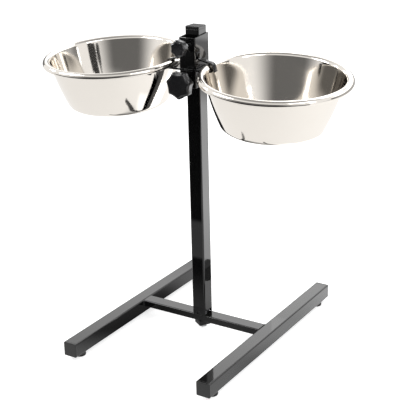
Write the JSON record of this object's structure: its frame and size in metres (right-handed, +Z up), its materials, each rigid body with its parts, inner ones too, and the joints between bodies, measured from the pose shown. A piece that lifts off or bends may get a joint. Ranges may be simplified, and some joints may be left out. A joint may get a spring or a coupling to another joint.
{
  "type": "raised pet feeder stand",
  "caption": "Raised feeder stand: H-shaped square-tube base, single post and a knob-locked sliding carrier that clamps the rims of stainless bowls side by side.",
  "frame": {"origin": "on the floor, under the axis of the post", "axes": "+X along the crossbar towards the right-hand bowl, +Y away from the side with the knobs, +Z up"},
  "size_m": [0.5385, 0.418, 0.5355],
  "materials": {
    "black_paint": "gloss black stoved paint on steel tube and sheet",
    "black_plastic": "satin black moulded plastic",
    "rubber": "matt black rubber",
    "zinc_steel": "bright zinc-plated steel",
    "stainless": "polished stainless steel sheet"
  },
  "bodies": {
    "frame": {"left_foot_tube": "black_paint", "right_foot_tube": "black_paint", "crossbar": "black_paint", "post_tube": "black_paint", "post_cap": "black_plastic", "left_front_cap": "black_plastic", "left_rear_cap": "black_plastic", "right_front_cap": "black_plastic", "right_rear_cap": "black_plastic", "left_front_pad": "rubber", "left_rear_pad": "rubber", "right_front_pad": "rubber", "right_rear_pad": "rubber", "post_block": "zinc_steel", "post_bolt": "zinc_steel", "bolt_plate": "black_paint"},
    "carrier": {"carrier_sleeve": "black_paint", "rest_plate": "black_paint", "lock_nut": "zinc_steel"},
    "lock_spindle": {"lock_screw": "zinc_steel", "lock_brake": "black_plastic"},
    "lock_handle": {"lock_knob": "black_plastic"},
    "clamp": {"clamp_sleeve": "black_paint", "left_hook": "black_paint", "right_hook": "black_paint", "clamp_nut": "zinc_steel"},
    "clamp_spindle": {"clamp_screw": "zinc_steel", "clamp_brake": "black_plastic"},
    "clamp_handle": {"clamp_knob": "black_plastic"},
    "left_dish": {"left_bowl": "stainless"},
    "right_dish": {"right_bowl": "stainless"}
  },
  "joints": [
    {"name": "height_slide", "type": "slide", "parent": "frame", "child": "carrier", "axis": [0, 0, 1], "range_m": [-0.33, 0.01]},
    {"name": "lock_travel", "type": "slide", "parent": "carrier", "child": "lock_spindle", "axis": [0, -1, 0], "range_m": [0, 0.0025]},
    {"name": "lock_turn", "type": "hinge", "parent": "lock_spindle", "child": "lock_handle", "pos_m": [0, -0.045, 0.449], "axis": [0, -1, 0], "range_deg": [0, 722]},
    {"name": "clamp_slide", "type": "slide", "parent": "carrier", "child": "clamp", "axis": [0, 0, 1], "range_m": [0, 0.03]},
    {"name": "clamp_travel", "type": "slide", "parent": "clamp", "child": "clamp_spindle", "axis": [0, -1, 0], "range_m": [0, 0.002]},
    {"name": "clamp_turn", "type": "hinge", "parent": "clamp_spindle", "child": "clamp_handle", "pos_m": [0, -0.045, 0.507], "axis": [0, -1, 0], "range_deg": [0, 722]},
    {"name": "left_tilt", "type": "hinge", "parent": "carrier", "child": "left_dish", "pos_m": [-0.0275, -0.01797, 0.47189], "axis": [0, -0.9969, -0.0785], "range_deg": [0, 4.5]},
    {"name": "right_tilt", "type": "hinge", "parent": "carrier", "child": "right_dish", "pos_m": [0.0275, -0.00999, 0.47251], "axis": [0, 0.9969, 0.0785], "range_deg": [-4, 0.5]}
  ],
  "couplings": [
    {"joint": "lock_turn", "follows": "lock_travel", "rad_per_m": 5026.5},
    {"joint": "clamp_turn", "follows": "clamp_travel", "rad_per_m": 6283.2}
  ]
}
